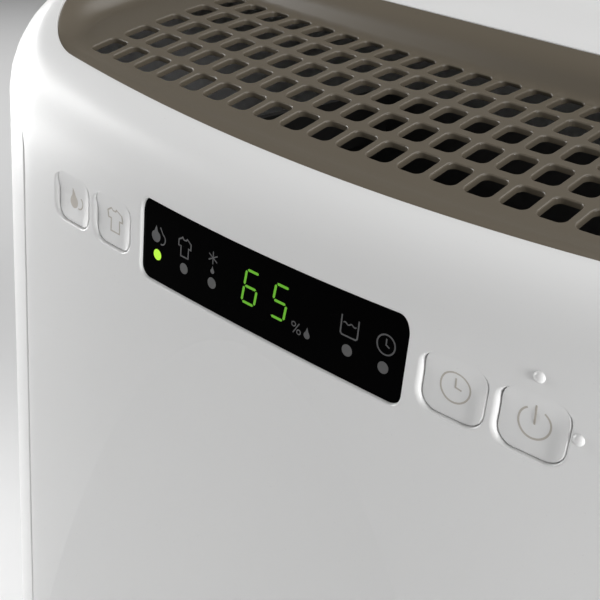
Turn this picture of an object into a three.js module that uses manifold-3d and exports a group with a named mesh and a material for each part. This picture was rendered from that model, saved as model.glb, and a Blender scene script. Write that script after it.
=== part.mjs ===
import * as THREE from "three";
import { mergeVertices } from "three/addons/utils/BufferGeometryUtils.js";
import Module from "manifold-3d";

const wasm = await Module();
wasm.setup();

// ---------------------------------------------------------------- dimensions
// Millimetres. +X is to the right seen from the front, the front faces -Y, +Z is up.
const WIDTH = 380;
const DEPTH = 240;
const HEIGHT = 585;
const GAP = 0.3;

// Casing plan: a shallow front arc, two wide front corners and two tight rear corners.
const FRONT_RADIUS = 1495;
const FRONT_HALF = 135.2;
const CORNER_RADIUS = 60;
const REAR_RADIUS = 25;
const WALL = 2.6;
const CASING_BOTTOM = 34.3;
const SPLIT_Y = -20;

// Sloping shoulder between the vertical wall and the opening at the top.
const SHOULDER_RUN = 22.3;
const SHOULDER_RISE = 27.7;
const RIM_FRONT_Z = 533;
const RIM_FRONT_Y = -101;
const RIM_CLIMB = 34.5;
const RIM_REACH = 36;
const CROWN_FRONT_Y = 9.5;
const OPENING_INSET = 20.1;
const LIP_DEPTH = 5;

// Arched hollow in the front panel, opening downwards to the tank.
const ARCH_TOP = 472;
const ARCH_SPREAD = 80;
const ARCH_DEPTH = 8;
const ARCH_FOOT = 226;

// Water tank and its front.
const TANK_HALF = 134;
const TANK_FRONT_HALF = 140.5;
const TANK_FRONT_Y = -92;
const TANK_REAR_Y = 4;
const TANK_FLOOR_Z = 34.4;
const TANK_TOP_Z = 214;
const TANK_WALL = 2.5;

// Control panel.
const PANEL_Z = 492;
const LENS_HALF = 61.1;
const LENS_HIGH = 30.2;
const LENS_RECESS = 1.5;
const BUTTON_X = [-104.6, -78.4, 78.4, 104.6];
const BUTTON_NAMES = ["button_humidity", "button_laundry", "button_timer", "button_power"];
const BUTTON_WIDE = 21.8;
const BUTTON_HIGH = 20.5;
const BUTTON_CORNER = 6;
const BUTTON_GAP = 0.5;

// Air outlet at the top.
const GRILLE_COLUMNS = 21;
const GRILLE_ROWS = 5;
const GRILLE_PITCH_X = 13.29;
const GRILLE_PITCH_Y = 16.93;
const GRILLE_FIRST_Y = -75.9;
const GRILLE_FIRST_Z = 538.5;
const GRILLE_DISH = 1.74e-4;
const HOLE_WIDE = 9.6;
const HOLE_LONG = 12.6;
const GRILLE_THICK = 2.4;

// Rear intake.
const INTAKE_HALF = 140;
const INTAKE_BOTTOM = 250;
const INTAKE_TOP = 500;

// Base and castors.
const BASE_BOTTOM = 28;
const BASE_TOP = 34;
const CASTOR_X = 150;
const CASTOR_Y = 80;
const WHEEL_RADIUS = 12;
const WHEEL_WIDE = 10;
const CASTOR_TRAIL = 7;

// Fan.
const FAN_Z = 365;
const FAN_RADIUS = 82;
const SCROLL_RADIUS = 100;
const SCROLL_FRONT = -74;
const SCROLL_REAR = 24;
const SCROLL_TOP = 505;

// ---------------------------------------------------------------- helpers
const part = new THREE.Group();
part.name = "dehumidifier";

const FINISH = {
  white: [0xdcdddb, 0.42, 0],
  taupe: [0x3a342e, 0.55, 0],
  grey: [0x8d8f8e, 0.5, 0],
  clear: [0xb9c4c8, 0.2, 0],
  black: [0x0c0c0e, 0.12, 0],
  rubber: [0x1c1c1c, 0.85, 0],
  enamel: [0x17181a, 0.4, 0.3],
  aluminium: [0xb4b7ba, 0.35, 1],
  copper: [0xb87348, 0.35, 1],
  steel: [0x9a9da1, 0.35, 1],
  board: [0x1f5a35, 0.5, 0],
};

function toManifold(geometry) {
  const bare = geometry.clone();
  bare.deleteAttribute("normal");
  bare.deleteAttribute("uv");
  const merged = mergeVertices(bare, 1e-4);
  return new wasm.Manifold(new wasm.Mesh({
    numProp: 3,
    vertProperties: new Float32Array(merged.attributes.position.array),
    triVerts: new Uint32Array(merged.index.array),
  }));
}

function toGeometry(solid) {
  const mesh = solid.getMesh();
  const geometry = new THREE.BufferGeometry();
  geometry.setAttribute("position", new THREE.BufferAttribute(new Float32Array(mesh.vertProperties), 3));
  geometry.setIndex(new THREE.BufferAttribute(new Uint32Array(mesh.triVerts), 1));
  const flat = geometry.toNonIndexed();
  flat.computeVertexNormals();
  return flat;
}

function addPart(name, solid, finish) {
  const [color, roughness, metalness] = FINISH[finish];
  const material = new THREE.MeshStandardMaterial({ color, roughness, metalness });
  const mesh = new THREE.Mesh(toGeometry(solid), material);
  mesh.name = name;
  part.add(mesh);
}

function box(x0, x1, y0, y1, z0, z1) {
  const geometry = new THREE.BoxGeometry(x1 - x0, y1 - y0, z1 - z0);
  geometry.translate((x0 + x1) / 2, (y0 + y1) / 2, (z0 + z1) / 2);
  return toManifold(geometry);
}

// A rod along x, y or z between two positions on that axis, centred on the other two.
function rod(axis, from, to, a, b, radius, segments = 16) {
  const geometry = new THREE.CylinderGeometry(radius, radius, to - from, segments);
  const middle = (from + to) / 2;
  if (axis === "x") {
    geometry.rotateZ(Math.PI / 2);
    geometry.translate(middle, a, b);
  } else if (axis === "y") {
    geometry.translate(a, middle, b);
  } else {
    geometry.rotateX(Math.PI / 2);
    geometry.translate(a, b, middle);
  }
  return toManifold(geometry);
}

function roundedShape(halfWide, halfHigh, radius) {
  const shape = new THREE.Shape();
  shape.absarc(halfWide - radius, halfHigh - radius, radius, 0, Math.PI / 2);
  shape.absarc(radius - halfWide, halfHigh - radius, radius, Math.PI / 2, Math.PI);
  shape.absarc(radius - halfWide, radius - halfHigh, radius, Math.PI, Math.PI * 1.5);
  shape.absarc(halfWide - radius, radius - halfHigh, radius, Math.PI * 1.5, Math.PI * 2);
  shape.closePath();
  return shape;
}

function extrude(shape, depth, curveSegments = 4) {
  return new THREE.ExtrudeGeometry(shape, { depth, bevelEnabled: false, curveSegments });
}

// Rounded block standing on its plan outline.
function uprightBlock(x0, x1, y0, y1, z0, z1, radius) {
  const geometry = extrude(roundedShape((x1 - x0) / 2, (y1 - y0) / 2, radius), z1 - z0);
  geometry.translate((x0 + x1) / 2, (y0 + y1) / 2, z0);
  return toManifold(geometry);
}

// Rounded block whose outline is seen from the front, from y0 back to y1.
function facingBlock(x, z, wide, high, radius, y0, y1) {
  const geometry = extrude(roundedShape(wide / 2, high / 2, radius), y1 - y0);
  geometry.rotateX(Math.PI / 2);
  geometry.translate(x, y1, z);
  return toManifold(geometry);
}

// Outline given as [y, z] points, drawn out along x.
function sideProfile(points, x0, x1) {
  const shape = new THREE.Shape(points.map(([y, z]) => new THREE.Vector2(y, z)));
  const geometry = extrude(shape, x1 - x0);
  geometry.rotateY(Math.PI / 2);
  geometry.rotateX(Math.PI / 2);
  geometry.translate(x0, 0, 0);
  return toManifold(geometry);
}

// Side profile swept along x in slices, each lifted by rise(x, y).
function liftedProfile(points, x0, x1, slices, rise) {
  const shape = new THREE.Shape(points.map(([y, z]) => new THREE.Vector2(y, z)));
  const geometry = new THREE.ExtrudeGeometry(shape, { depth: x1 - x0, bevelEnabled: false, steps: slices });
  geometry.rotateY(Math.PI / 2);
  geometry.rotateX(Math.PI / 2);
  geometry.translate(x0, 0, 0);
  const position = geometry.getAttribute("position");
  for (let i = 0; i < position.count; i += 1) {
    position.setZ(i, position.getZ(i) + rise(position.getX(i), position.getY(i)));
  }
  return toManifold(geometry);
}

function turned(points, segments = 20) {
  const geometry = new THREE.LatheGeometry(points.map(([r, h]) => new THREE.Vector2(r, h)), segments);
  geometry.rotateX(Math.PI / 2);
  return toManifold(geometry);
}

function pipe(points, radius, steps, sides = 4) {
  const path = new THREE.CatmullRomCurve3(points.map(([x, y, z]) => new THREE.Vector3(x, y, z)));
  const ring = new THREE.Shape();
  ring.absarc(0, 0, radius, 0, Math.PI * 2);
  const options = { steps, extrudePath: path, bevelEnabled: false, curveSegments: sides };
  return toManifold(new THREE.ExtrudeGeometry(ring, options));
}

// ---------------------------------------------------------------- casing surface
const FRONT_CENTRE_Y = -DEPTH / 2 + FRONT_RADIUS;
const FRONT_ANGLE = Math.asin(FRONT_HALF / FRONT_RADIUS);
const CORNER_X = WIDTH / 2 - CORNER_RADIUS;
const CORNER_Y = FRONT_CENTRE_Y - (FRONT_RADIUS - CORNER_RADIUS) * Math.cos(FRONT_ANGLE);

function archHalf(z) {
  const drop = Math.max(ARCH_TOP - z, 4);
  return Math.min(FRONT_HALF - 0.5, Math.sqrt(ARCH_SPREAD * drop));
}

function archDepth(z) {
  const fraction = THREE.MathUtils.clamp((ARCH_TOP - z) / (ARCH_TOP - ARCH_FOOT), 0, 1);
  return ARCH_DEPTH * fraction ** 0.75;
}

function frontPoint(x, inset, z) {
  const angle = Math.asin(x / FRONT_RADIUS);
  const radius = FRONT_RADIUS - inset;
  const reach = Math.min(Math.abs(x) / archHalf(z), 1);
  const hollow = archDepth(z) * (1 - reach * reach);
  return [radius * Math.sin(angle), FRONT_CENTRE_Y - radius * Math.cos(angle) + hollow];
}

function arcPoints(cx, cy, radius, from, to, steps) {
  const points = [];
  for (let i = 1; i <= steps; i += 1) {
    const angle = from + ((to - from) * i) / steps;
    points.push([cx + radius * Math.cos(angle), cy + radius * Math.sin(angle)]);
  }
  return points;
}

// Plan outline at one height, counter-clockwise from the left end of the front arc.
function planOutline(inset, z) {
  const half = archHalf(z);
  const inner = [-1, -0.6, -0.2, 0.2, 0.6, 1].map((s) => s * half);
  const outer = [1 / 3, 2 / 3, 1].map((s) => half + (FRONT_HALF - half) * s);
  const xs = [...outer.map((x) => -x).reverse(), ...inner, ...outer];
  const points = xs.map((x) => frontPoint(x, inset, z));
  const cornerEnd = -Math.PI / 2 + FRONT_ANGLE;
  const sideX = WIDTH / 2 - inset;
  const sideYs = [SPLIT_Y, CROWN_FRONT_Y, 24, 60];
  points.push(...arcPoints(CORNER_X, CORNER_Y, CORNER_RADIUS - inset, cornerEnd, 0, 6));
  points.push(...sideYs.map((y) => [sideX, y]));
  // Deep insets leave no rear corner radius: the arc stays small and moves inwards instead of turning over.
  const rearRadius = Math.max(REAR_RADIUS - inset, 1);
  const rearX = sideX - rearRadius;
  const rearY = DEPTH / 2 - inset - rearRadius;
  points.push(...arcPoints(rearX, rearY, rearRadius, 0, Math.PI / 2, 4));
  points.push([-rearX, DEPTH / 2 - inset]);
  points.push(...arcPoints(-rearX, rearY, rearRadius, Math.PI / 2, Math.PI, 4));
  points.push(...sideYs.slice(0, 3).reverse().map((y) => [-sideX, y]));
  points.push([-sideX, CORNER_Y]);
  points.push(...arcPoints(-CORNER_X, CORNER_Y, CORNER_RADIUS - inset, Math.PI, Math.PI * 1.5 - FRONT_ANGLE, 6)
    .slice(0, 5));
  return points;
}

// Height of the opening's edge: lowest at the front, climbing round the corners, level at the sides.
function rimHeight(y) {
  const behind = THREE.MathUtils.clamp((y - CROWN_FRONT_Y) / 14.5, 0, 1);
  return RIM_FRONT_Z + RIM_CLIMB * Math.tanh((y - RIM_FRONT_Y) / RIM_REACH) + 1.5 * behind;
}

// The same heights point by point for any plan outline.
function rimHeights() {
  return planOutline(OPENING_INSET, ARCH_TOP + 1).map(([, y]) => rimHeight(y));
}

// Closed solid through a stack of rings with equal point counts.
function loft(rings) {
  const count = rings[0].length;
  const positions = rings.flat(2);
  const bottom = rings.length * count;
  const top = bottom + 1;
  const mean = (ring, k) => ring.reduce((sum, p) => sum + p[k], 0) / count;
  for (const ring of [rings[0], rings[rings.length - 1]]) {
    positions.push(mean(ring, 0), mean(ring, 1), mean(ring, 2));
  }
  const index = [];
  for (let i = 0; i < count; i += 1) {
    const j = (i + 1) % count;
    for (let k = 0; k + 1 < rings.length; k += 1) {
      const low = k * count;
      const high = low + count;
      index.push(low + i, low + j, high + j, low + i, high + j, high + i);
    }
    const last = (rings.length - 1) * count;
    index.push(bottom, j, i, top, last + i, last + j);
  }
  const geometry = new THREE.BufferGeometry();
  geometry.setAttribute("position", new THREE.BufferAttribute(new Float32Array(positions), 3));
  geometry.setIndex(index);
  return toManifold(geometry);
}

function levelRing(inset, z) {
  return planOutline(inset, z).map(([x, y]) => [x, y, z]);
}

// Straight-sided prism on the plan outline, without the arched hollow.
function prism(inset, z0, z1) {
  const outline = planOutline(inset, ARCH_TOP + 1);
  return loft([outline.map(([x, y]) => [x, y, z0]), outline.map(([x, y]) => [x, y, z1])]);
}

function casingSolid(inset, bottom, lip) {
  const levels = [bottom, ARCH_FOOT, 290, 350, 400, 440, ARCH_TOP];
  const rings = levels.map((z) => levelRing(inset, z));
  const rims = rimHeights();
  for (const degrees of [0, 28, 55, 82]) {
    const angle = THREE.MathUtils.degToRad(degrees);
    const inwards = inset + SHOULDER_RUN * (1 - Math.cos(angle));
    const drop = SHOULDER_RISE * (1 - Math.sin(angle)) + lip;
    const outline = planOutline(inwards, ARCH_TOP + 1);
    rings.push(outline.map(([x, y], i) => [x, y, rims[i] - drop]));
  }
  return loft(rings);
}

const casingOuter = casingSolid(0, CASING_BOTTOM, 0);
const casingInner = casingSolid(WALL, CASING_BOTTOM - 5, LIP_DEPTH);
const casing = casingOuter.subtract(casingInner).subtract(prism(OPENING_INSET, 480, 620));

// Slice of the casing wall between two insets, for pieces that follow its front curve.
function casingLayer(fromInset, toInset) {
  const bottom = CASING_BOTTOM + 5;
  return casingSolid(fromInset, bottom, 0).subtract(casingSolid(toInset, bottom - 2, 1));
}

// ---------------------------------------------------------------- front cover, buttons, display
function buttonBlock(x, grow, y0, y1) {
  return facingBlock(x, PANEL_Z, BUTTON_WIDE + grow * 2, BUTTON_HIGH + grow * 2, BUTTON_CORNER + grow, y0, y1);
}

let frontCover = casing.intersect(box(-200, 200, -130, SPLIT_Y, 0, 620));
frontCover = frontCover.subtract(box(-TANK_FRONT_HALF - 0.5, TANK_FRONT_HALF + 0.5, -130, -60, 0, ARCH_FOOT));
frontCover = frontCover.subtract(facingBlock(0, PANEL_Z, LENS_HALF * 2, LENS_HIGH, 5, -130, -100));
for (const x of BUTTON_X) {
  frontCover = frontCover.subtract(buttonBlock(x, BUTTON_GAP, -130, -100));
}
addPart("front_cover", frontCover, "white");

const wallLayer = casingLayer(0, WALL);
const BOARD_Y = -107;
BUTTON_X.forEach((x, i) => {
  const cap = wallLayer.intersect(buttonBlock(x, 0, -130, -100));
  const stemStart = frontPoint(x, WALL / 2, ARCH_TOP + 1)[1];
  const stem = rod("y", stemStart, BOARD_Y - 1.2, x, PANEL_Z - 4, 2.2, 8);
  addPart(BUTTON_NAMES[i], cap.add(stem), "white");
});

const lensBlock = facingBlock(0, PANEL_Z, LENS_HALF * 2 - 0.6, LENS_HIGH - 0.6, 4.7, -130, -100);
addPart("display_lens", casingLayer(LENS_RECESS, LENS_RECESS + 2).intersect(lensBlock), "black");
addPart("digit_display", box(-10, 15, -114, BOARD_Y - GAP, PANEL_Z - 9, PANEL_Z + 9), "grey");

let board = box(-122, 122, BOARD_Y, BOARD_Y + 1.6, 475, 509);
for (const x of BUTTON_X) {
  board = board.subtract(rod("y", BOARD_Y - 1, BOARD_Y + 3, x, 505, 1.6, 8));
}
addPart("display_board", board, "board");
addPart("humidity_sensor", box(128, 144, -104, -98, 470, 484), "white");

// ---------------------------------------------------------------- rear cover and its fittings
const GRIP = { y0: 2, y1: 88, z0: 432, z1: 468, depth: 30, wall: 2 };
const DRAIN = { x: 110, z: 222 };
const GLAND = { x: 150, z: 90 };
const SCREWS = [[-172, 60], [172, 60], [-172, 530], [172, 530]];

let rearCover = casing.intersect(box(-200, 200, SPLIT_Y + GAP, 130, 0, 620));
rearCover = rearCover.subtract(box(-INTAKE_HALF, INTAKE_HALF, 100, 130, INTAKE_BOTTOM, INTAKE_TOP));
rearCover = rearCover.subtract(box(-200, 200, GRIP.y0 - GAP, GRIP.y1 + GAP, GRIP.z0 - GAP, GRIP.z1 + GAP));
rearCover = rearCover.subtract(rod("y", 100, 130, DRAIN.x, DRAIN.z, 13.4, 20));
rearCover = rearCover.subtract(rod("y", 100, 130, GLAND.x, GLAND.z, 8.3, 16));
for (const [x, z] of SCREWS) {
  rearCover = rearCover.subtract(rod("y", 100, 130, x, z, 3.8, 10));
}
addPart("rear_cover", rearCover, "white");

SCREWS.forEach(([x, z], i) => {
  const head = rod("y", 116, 119, x, z, 3.4, 10);
  addPart(`screw_${i + 1}`, head.add(rod("y", 104, 117, x, z, 1.8, 8)), "steel");
});

function grip(side) {
  const far = WIDTH / 2;
  const near = far - GRIP.depth;
  const span = side > 0 ? [near, far] : [-far, -near];
  const hollow = side > 0 ? [near + GRIP.wall, far + 1] : [-far - 1, -near - GRIP.wall];
  const cup = box(span[0], span[1], GRIP.y0, GRIP.y1, GRIP.z0, GRIP.z1);
  return cup.subtract(box(hollow[0], hollow[1], GRIP.y0 + GRIP.wall, GRIP.y1 - GRIP.wall,
    GRIP.z0 + GRIP.wall, GRIP.z1 - GRIP.wall));
}
addPart("grip_left", grip(-1), "taupe");
addPart("grip_right", grip(1), "taupe");

const glandBody = rod("y", 110, 119.6, GLAND.x, GLAND.z, 8, 16);
addPart("cord_gland", glandBody.subtract(rod("y", 100, 130, GLAND.x, GLAND.z, 3.6, 12)), "rubber");

const spout = rod("y", 60, 114, DRAIN.x, DRAIN.z, 8, 16);
addPart("drain_spout", spout.subtract(rod("y", 50, 130, DRAIN.x, DRAIN.z, 6, 12)), "grey");
const capDisc = rod("y", 114.5, 119.6, DRAIN.x, DRAIN.z, 13, 20);
addPart("drain_cap", capDisc.add(rod("y", 100, 115, DRAIN.x, DRAIN.z, 5.6, 12)), "taupe");

// ---------------------------------------------------------------- crown lid
const CROWN_SKIRT_Z = 562;
const CROWN_HOLLOW_TOP = 577;
const crownOuterProfile = [
  [9.8, CROWN_SKIRT_Z], [9.8, 567.6], [15, 569.4], [21, 573], [27, 578.2], [33, 582.4], [40, 584.5], [47, HEIGHT],
  [110, HEIGHT], [110, CROWN_SKIRT_Z],
];
const crownHollowProfile = [
  [13, CROWN_SKIRT_Z - 3], [13, 565.4], [24, 571], [31, CROWN_HOLLOW_TOP], [110, CROWN_HOLLOW_TOP],
  [110, CROWN_SKIRT_Z - 3],
];
// Rounded rim of the crown, as [inset, height] pairs.
const crownEdge = [[20.5, 550], [20.5, 571], [22, 577], [25.5, 582], [31, 584.6], [42, 588]];
const crownEnvelope = loft(crownEdge.map(([inset, z]) => {
  const outline = planOutline(inset, ARCH_TOP + 1);
  return outline.map(([x, y]) => [x, y, z]);
}));
const crownOuter = sideProfile(crownOuterProfile, -176, 176).intersect(crownEnvelope);
const crownHollow = sideProfile(crownHollowProfile, -176, 176).intersect(prism(24.6, 550, 600));
addPart("top_cover", crownOuter.subtract(crownHollow), "white");

// ---------------------------------------------------------------- air outlet grille
function grilleHeight(y) {
  const v = y - GRILLE_FIRST_Y;
  return GRILLE_FIRST_Z + 0.249 * v - 0.001 * v * v;
}

// The pan is dished: it rises towards its sides, but not along its rear edge.
function grilleDish(x, y) {
  return GRILLE_DISH * x * x * THREE.MathUtils.clamp((CROWN_FRONT_Y - y) / 13, 0, 1);
}
const grilleTop = [];
for (let y = -104; y <= -8; y += 32) {
  grilleTop.push([y, grilleHeight(y)]);
}
grilleTop.push([-0.5, 551.4], [1.2, 555.5], [2.6, 560.2], [9.4, 567.4]);
const grilleUnder = grilleTop.map(([y, z], i) => {
  const wall = i >= grilleTop.length - 4;
  return [Math.min(y + (wall ? 1.7 : 0), 9.4), z - (wall ? 3.2 : GRILLE_THICK)];
});
let grille = liftedProfile([...grilleTop, ...grilleUnder.reverse()], -176, 176, 8, grilleDish);
grille = grille.intersect(prism(OPENING_INSET + 0.4, 500, 600));

// Upstand that joins the pan to the higher edge of the opening at the sides and front.
function upstandSolid(inset, under, over) {
  const outline = planOutline(inset, ARCH_TOP + 1);
  const rims = rimHeights();
  const low = outline.map(([x, y]) => {
    const back = Math.min(y, -0.5);
    return [x, y, grilleHeight(back) + grilleDish(x, back) - under];
  });
  return loft([low, outline.map(([x, y], i) => [x, y, rims[i] + over])]);
}
const upstand = upstandSolid(OPENING_INSET + 0.4, 2, -1.5).subtract(upstandSolid(OPENING_INSET + 2.2, 6, 10));
grille = grille.add(upstand.intersect(box(-200, 200, -130, CROWN_FRONT_Y - 0.1, 500, 600)));
for (let row = 0; row < GRILLE_ROWS; row += 1) {
  const y = GRILLE_FIRST_Y + row * GRILLE_PITCH_Y;
  for (let column = 0; column < GRILLE_COLUMNS; column += 1) {
    const x = (column - (GRILLE_COLUMNS - 1) / 2) * GRILLE_PITCH_X;
    const hole = box(x - HOLE_WIDE / 2, x + HOLE_WIDE / 2, y - HOLE_LONG / 2, y + HOLE_LONG / 2, 520, 565);
    grille = grille.subtract(hole);
  }
}
addPart("outlet_grille", grille, "taupe");

// ---------------------------------------------------------------- rear intake and filter
let intake = facingBlock(0, (INTAKE_BOTTOM + INTAKE_TOP) / 2, INTAKE_HALF * 2 - 0.8, INTAKE_TOP - INTAKE_BOTTOM - 0.8,
  3, 116.6, 119.8);
const SLOT_COUNT = 15;
for (let i = 0; i < SLOT_COUNT; i += 1) {
  const z = INTAKE_BOTTOM + 20 + i * 15;
  for (const side of [-1, 1]) {
    intake = intake.subtract(box(side * 67 - 61, side * 67 + 61, 110, 125, z - 3.5, z + 3.5));
  }
}
addPart("intake_grille", intake, "taupe");

const FILTER = { half: 133, z0: 256, z1: 494, y0: 110, y1: 115.5, rail: 9 };
const filterOuter = box(-FILTER.half, FILTER.half, FILTER.y0, FILTER.y1, FILTER.z0, FILTER.z1);
const filterHole = (grow) => box(-FILTER.half + FILTER.rail + grow, FILTER.half - FILTER.rail - grow, FILTER.y0 - 2,
  FILTER.y1 + 2, FILTER.z0 + FILTER.rail + grow, FILTER.z1 - FILTER.rail - grow);
addPart("filter_frame", filterOuter.subtract(filterHole(0)), "taupe");
const filterSheet = filterHole(0.4).intersect(box(-200, 200, 112, 113, 200, 520));
addPart("filter_mesh", filterSheet, "grey");

// ---------------------------------------------------------------- base and castors
const CASTORS = [["front_left", -1, -1], ["front_right", 1, -1], ["rear_left", -1, 1], ["rear_right", 1, 1]];
const basePlate = prism(1, BASE_BOTTOM, BASE_TOP);
const baseRim = prism(WALL + 0.5, BASE_TOP - 1, BASE_TOP + 12).subtract(prism(WALL + 3, BASE_TOP - 2, BASE_TOP + 13));
const rimKept = baseRim.subtract(box(-TANK_FRONT_HALF - 1, TANK_FRONT_HALF + 1, -130, -60, BASE_TOP, 60));
let base = basePlate.add(rimKept);
for (const [, sx, sy] of CASTORS) {
  base = base.subtract(rod("z", BASE_BOTTOM - 1, BASE_TOP + 1, sx * CASTOR_X, sy * CASTOR_Y, 4.4, 12));
}
addPart("base_pan", base, "taupe");

for (const [place, sx, sy] of CASTORS) {
  const x = sx * CASTOR_X;
  const y = sy * CASTOR_Y;
  const armX = WHEEL_WIDE / 2 + 0.5;
  const plate = rod("z", 25, BASE_BOTTOM - GAP, x, y, 12, 16);
  const stem = rod("z", BASE_BOTTOM - 1, BASE_TOP - 0.5, x, y, 4, 12);
  let fork = plate.add(stem);
  for (const side of [-1, 1]) {
    const x0 = side > 0 ? x + armX : x - armX - 2.5;
    fork = fork.add(box(x0, x0 + 2.5, y + CASTOR_TRAIL - 5, y + CASTOR_TRAIL + 5, WHEEL_RADIUS - 4, 25.5));
  }
  fork = fork.add(rod("x", x - armX - 1, x + armX + 1, y + CASTOR_TRAIL, WHEEL_RADIUS, 2, 8));
  addPart(`castor_fork_${place}`, fork, "grey");

  const half = WHEEL_WIDE / 2;
  const tyre = turned([[2.4, -half], [WHEEL_RADIUS - 1.5, -half], [WHEEL_RADIUS, 1.5 - half],
    [WHEEL_RADIUS, half - 1.5], [WHEEL_RADIUS - 1.5, half], [2.4, half], [2.4, -half]], 20);
  addPart(`castor_wheel_${place}`, tyre.rotate([0, 90, 0]).translate([x, y + CASTOR_TRAIL, WHEEL_RADIUS]), "rubber");
}

// ---------------------------------------------------------------- water tank
const tankOuter = uprightBlock(-TANK_HALF, TANK_HALF, TANK_FRONT_Y, TANK_REAR_Y, TANK_FLOOR_Z, TANK_TOP_Z, 12);
const tankHollow = uprightBlock(-TANK_HALF + TANK_WALL, TANK_HALF - TANK_WALL, TANK_FRONT_Y + TANK_WALL,
  TANK_REAR_Y - TANK_WALL, TANK_FLOOR_Z + TANK_WALL, TANK_TOP_Z + 5, 12 - TANK_WALL);
addPart("tank_body", tankOuter.subtract(tankHollow), "clear");

const LID_Z = TANK_TOP_Z + GAP;
const lidPlate = uprightBlock(-TANK_HALF, TANK_HALF, TANK_FRONT_Y, TANK_REAR_Y, LID_Z, LID_Z + 2.5, 12);
const lidOpen = lidPlate.subtract(uprightBlock(-45, 45, -35, -8, LID_Z - 5, LID_Z + 8, 6));
const floatEars = box(80.7, 83.7, -13, -4, 191, LID_Z + 1).add(box(96.3, 99.3, -13, -4, 191, LID_Z + 1));
addPart("tank_lid", lidOpen.add(floatEars), "grey");

const ribs = box(-118, 118, -118, TANK_FRONT_Y - GAP, 60, 63).add(box(-118, 118, -118, TANK_FRONT_Y - GAP, 170, 173));
let tankFront = casing.add(ribs.intersect(casingOuter));
tankFront = tankFront.intersect(box(-TANK_FRONT_HALF, TANK_FRONT_HALF, -130, -60, 0, ARCH_FOOT - 0.5));
tankFront = tankFront.subtract(facingBlock(0, 199, 110, 20, 8, -130, -100));
addPart("tank_front", tankFront, "white");

const floatPad = uprightBlock(70, 110, -60, -34, 178, 192, 4);
const floatArm = box(86, 94, -46, -4.5, 192 - 1, 196).add(rod("x", 84, 96, -8, 196, 2.6, 10));
addPart("tank_float", floatPad.add(floatArm), "white");
addPart("tank_switch", box(100, 118, 6, 16, 190, 212), "black");

// ---------------------------------------------------------------- refrigeration
const COMPRESSOR = { x: -105, y: 56 };
const FEET = [90, 210, 330];
let compressor = turned([[0, 42], [44, 42], [50, 48], [50, 92], [51, 96], [50, 100], [50, 165], [46, 186],
  [34, 199], [14, 205], [0, 205]], 18).translate([COMPRESSOR.x, COMPRESSOR.y, 0]);
const footAt = (degrees) => {
  const angle = THREE.MathUtils.degToRad(degrees);
  return [COMPRESSOR.x + 47 * Math.cos(angle), COMPRESSOR.y + 47 * Math.sin(angle)];
};
for (const degrees of FEET) {
  const [x, y] = footAt(degrees);
  const lug = rod("z", 42.4, 45.4, x, y, 9, 12);
  compressor = compressor.add(lug);
}
addPart("compressor", compressor, "enamel");
FEET.forEach((degrees, i) => {
  const [x, y] = footAt(degrees);
  addPart(`compressor_foot_${i + 1}`, rod("z", BASE_TOP + GAP, 41.7, x, y, 8, 14), "rubber");
});

// Finned block: fins stand upright and run front to back.
function finBlock(halfWide, y0, y1, z0, z1, count, web) {
  const pitch = (halfWide * 2) / count;
  const shape = new THREE.Shape();
  shape.moveTo(-halfWide, y1);
  shape.lineTo(-halfWide, y0);
  for (let i = 0; i < count; i += 1) {
    const x = -halfWide + i * pitch;
    shape.lineTo(x + pitch * 0.45, y0);
    if (i < count - 1) {
      shape.lineTo(x + pitch * 0.45, y0 + web);
      shape.lineTo(x + pitch, y0 + web);
      shape.lineTo(x + pitch, y0);
    }
  }
  shape.lineTo(-halfWide + (count - 1) * pitch + pitch * 0.45, y1);
  const geometry = extrude(shape, z1 - z0);
  geometry.translate(0, 0, z0);
  return toManifold(geometry);
}
addPart("evaporator", finBlock(125, 80, 100, 250, 490, 26, 14), "aluminium");
addPart("condenser", finBlock(125, 50, 72, 250, 490, 26, 14), "aluminium");

const trayOuter = box(-135, 135, 40, 106, 234, 247);
const tray = trayOuter.subtract(box(-132, 132, 43, 103, 236.5, 250));
const chute = box(-20, 20, -20, 42, 226, 230).add(box(-20, 20, 38, 42, 228, 236));
addPart("drip_tray", tray.add(chute), "grey");

addPart("suction_pipe", pipe([[-105, 56, 205.4], [-105, 56, 216], [-118, 70, 226], [-142, 84, 232], [-150, 90, 250],
  [-146, 90, 262], [-133, 90, 266], [-125.4, 90, 266]], 4, 12), "copper");
addPart("discharge_pipe", pipe([[-85, 56, 204.6], [-85, 56, 212], [-94, 40, 222], [-130, 24, 226], [-152, 40, 240],
  [-152, 58, 256], [-140, 61, 264], [-125.4, 61, 266]], 3.2, 12), "copper");
addPart("capillary_tube", pipe([[118.5, 61, 470], [132, 61, 470], [140, 66, 462], [140, 76, 452], [140, 88, 462],
  [132, 90, 470], [118.5, 90, 470]].map(([x, y, z]) => [Math.max(x, 126), y, z]), 1.6, 10, 3), "copper");

// ---------------------------------------------------------------- fan
function scrollOutline(radius, right, top) {
  const shape = new THREE.Shape();
  shape.moveTo(radius, 0);
  shape.lineTo(right, top);
  shape.lineTo(-radius * 0.62, top);
  shape.lineTo(-radius * 0.78, radius * 0.63);
  shape.absarc(0, 0, radius, Math.PI * 0.78, Math.PI * 2);
  return shape;
}
function scrollSolid(radius, top, y0, y1) {
  const geometry = extrude(scrollOutline(radius, radius, top), y1 - y0, 20);
  geometry.rotateX(Math.PI / 2);
  geometry.translate(0, y1, FAN_Z);
  return toManifold(geometry);
}
let scroll = scrollSolid(SCROLL_RADIUS, SCROLL_TOP - FAN_Z, SCROLL_FRONT, SCROLL_REAR);
scroll = scroll.subtract(scrollSolid(SCROLL_RADIUS - 3, SCROLL_TOP - FAN_Z + 5, SCROLL_FRONT + 3, SCROLL_REAR - 3));
scroll = scroll.subtract(rod("y", SCROLL_REAR - 8, SCROLL_REAR + 5, 0, FAN_Z, 68, 32));
scroll = scroll.subtract(rod("y", SCROLL_FRONT - 5, SCROLL_FRONT + 8, 0, FAN_Z, 12, 16));
addPart("fan_scroll", scroll, "grey");

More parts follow.
